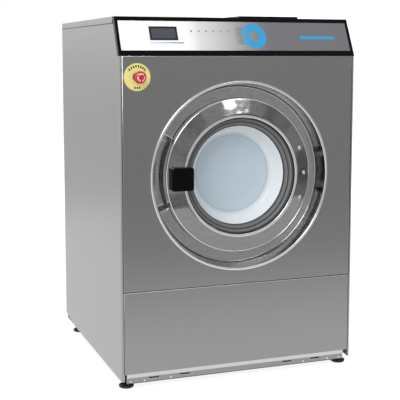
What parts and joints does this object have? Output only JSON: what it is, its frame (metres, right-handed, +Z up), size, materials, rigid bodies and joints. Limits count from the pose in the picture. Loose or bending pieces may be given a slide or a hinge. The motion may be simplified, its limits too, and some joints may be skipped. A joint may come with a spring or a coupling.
{
  "type": "washer-extractor",
  "caption": "Front-loading washer-extractor with suspended tub, round glass door, sloping control fascia and emergency stop.",
  "frame": {"origin": "middle of the footprint at floor level", "axes": "-Y is the front with the door, +X is to the right seen from the front, +Z is up"},
  "size_m": [0.84, 0.965, 1.2298],
  "materials": {
    "painted_steel": "satin",
    "frame_steel": "satin",
    "stainless_side": "brushed",
    "stainless_front": "brushed",
    "stainless_polished": "polished",
    "galvanised": "satin",
    "gloss_black": "gloss",
    "satin_black": "satin",
    "white_plastic": "matte",
    "grey_plastic": "matte",
    "plate_print": "satin",
    "screen_glass": "gloss",
    "safety_yellow": "satin",
    "safety_red": "gloss",
    "rubber": "matte",
    "grey_rubber": "matte",
    "cast_iron": "matte",
    "cast_aluminium": "satin",
    "bright_steel": "polished",
    "glass": "clear"
  },
  "bodies": {
    "cabinet": {"base_frame": "frame_steel", "levelling_feet": "rubber", "plinth": "galvanised", "suspension_frame": "frame_steel", "left_panel": "stainless_side", "right_panel": "stainless_side", "rear_panel": "galvanised", "top_panel": "stainless_side", "front_panel": "stainless_front", "service_panel": "stainless_front", "door_surround": "stainless_polished", "fascia_frame": "gloss_black", "fascia_plate": "plate_print", "display_screen": "screen_glass", "estop_legend_plate": "safety_yellow", "estop_collar": "satin_black", "dispenser_hopper": "white_plastic", "door_hinge_bracket": "bright_steel", "door_hinge_pin": "bright_steel", "door_lock": "satin_black", "inlet_valves": "white_plastic", "fill_hoses": "rubber", "drain_valve": "white_plastic", "vent_outlet": "grey_plastic", "cable_gland": "satin_black", "drive_box": "grey_plastic", "damper_cylinders": "frame_steel", "cabinet_screws": "bright_steel", "springs": "bright_steel", "door_boot": "grey_rubber", "bellows_hoses": "rubber"},
    "tub": {"tub_shell": "galvanised", "tub_front": "galvanised", "tub_brackets": "frame_steel", "counterweights": "cast_iron", "bearing_housing": "cast_iron", "drum_bearings": "bright_steel", "shaft_seal": "rubber", "damper_rods": "bright_steel", "motor_mount": "frame_steel", "motor_housing": "cast_iron", "heating_elements": "bright_steel", "drive_belt": "rubber"},
    "drum": {"drum_shell": "stainless_polished", "drum_lifters": "stainless_polished", "drum_spider": "cast_aluminium", "drum_pulley": "cast_aluminium"},
    "door": {"door_ring": "stainless_polished", "door_back_ring": "stainless_polished", "door_glass": "glass", "door_gasket": "rubber", "door_hinge_leaf": "bright_steel", "hinge_screws": "bright_steel", "handle_housing": "satin_black"},
    "motor_rotor": {"motor_shaft": "bright_steel"},
    "handle": {"door_handle": "satin_black"},
    "latch": {"latch_hook": "bright_steel"},
    "stop_plunger": {"estop_plunger": "grey_plastic"},
    "stop_button": {"estop_button": "safety_red"},
    "hatch": {"dispenser_lid": "gloss_black"}
  },
  "joints": [
    {"name": "door_hinge", "type": "hinge", "parent": "cabinet", "child": "door", "pos_m": [0.248, -0.404, 0.6945], "axis": [0, 0, 1], "range_deg": [0, 100]},
    {"name": "handle_pull", "type": "hinge", "parent": "door", "child": "handle", "pos_m": [-0.188, -0.4455, 0.6945], "axis": [0, 0, 1], "range_deg": [0, 20], "stiffness_Nm_per_rad": 1.5},
    {"name": "latch_release", "type": "hinge", "parent": "door", "child": "latch", "pos_m": [-0.237, -0.4045, 0.6945], "axis": [0, 0, 1], "range_deg": [-10, 0]},
    {"name": "tub_bounce", "type": "slide", "parent": "cabinet", "child": "tub", "axis": [0, 0, 1], "range_m": [-0.008, 0.008], "stiffness_N_per_m": 36000, "springref_m": 0.0394, "deforming": ["springs", "bellows_hoses", "door_boot"]},
    {"name": "drum_spin", "type": "hinge", "parent": "tub", "child": "drum", "pos_m": [0, -0.0875, 0.6945], "axis": [0, 1, 0], "continuous": true},
    {"name": "motor_spin", "type": "hinge", "parent": "tub", "child": "motor_rotor", "pos_m": [0.14, 0.1675, 0.18171], "axis": [0, 1, 0], "continuous": true},
    {"name": "estop_push", "type": "slide", "parent": "cabinet", "child": "stop_plunger", "axis": [0, 1, 0], "range_m": [0, 0.005]},
    {"name": "estop_twist", "type": "hinge", "parent": "stop_plunger", "child": "stop_button", "pos_m": [-0.3615, -0.4625, 1.028], "axis": [0, 1, 0], "range_deg": [0, 30], "stiffness_Nm_per_rad": 0.05},
    {"name": "dispenser_hatch_hinge", "type": "hinge", "parent": "cabinet", "child": "hatch", "pos_m": [0.1355, -0.1565, 1.2268], "axis": [-1, 0, 0], "range_deg": [0, 100]}
  ],
  "couplings": [
    {"joint": "latch_release", "follows": "handle_pull", "ratio": -0.5},
    {"joint": "motor_spin", "follows": "drum_spin", "ratio": 5.8276}
  ]
}
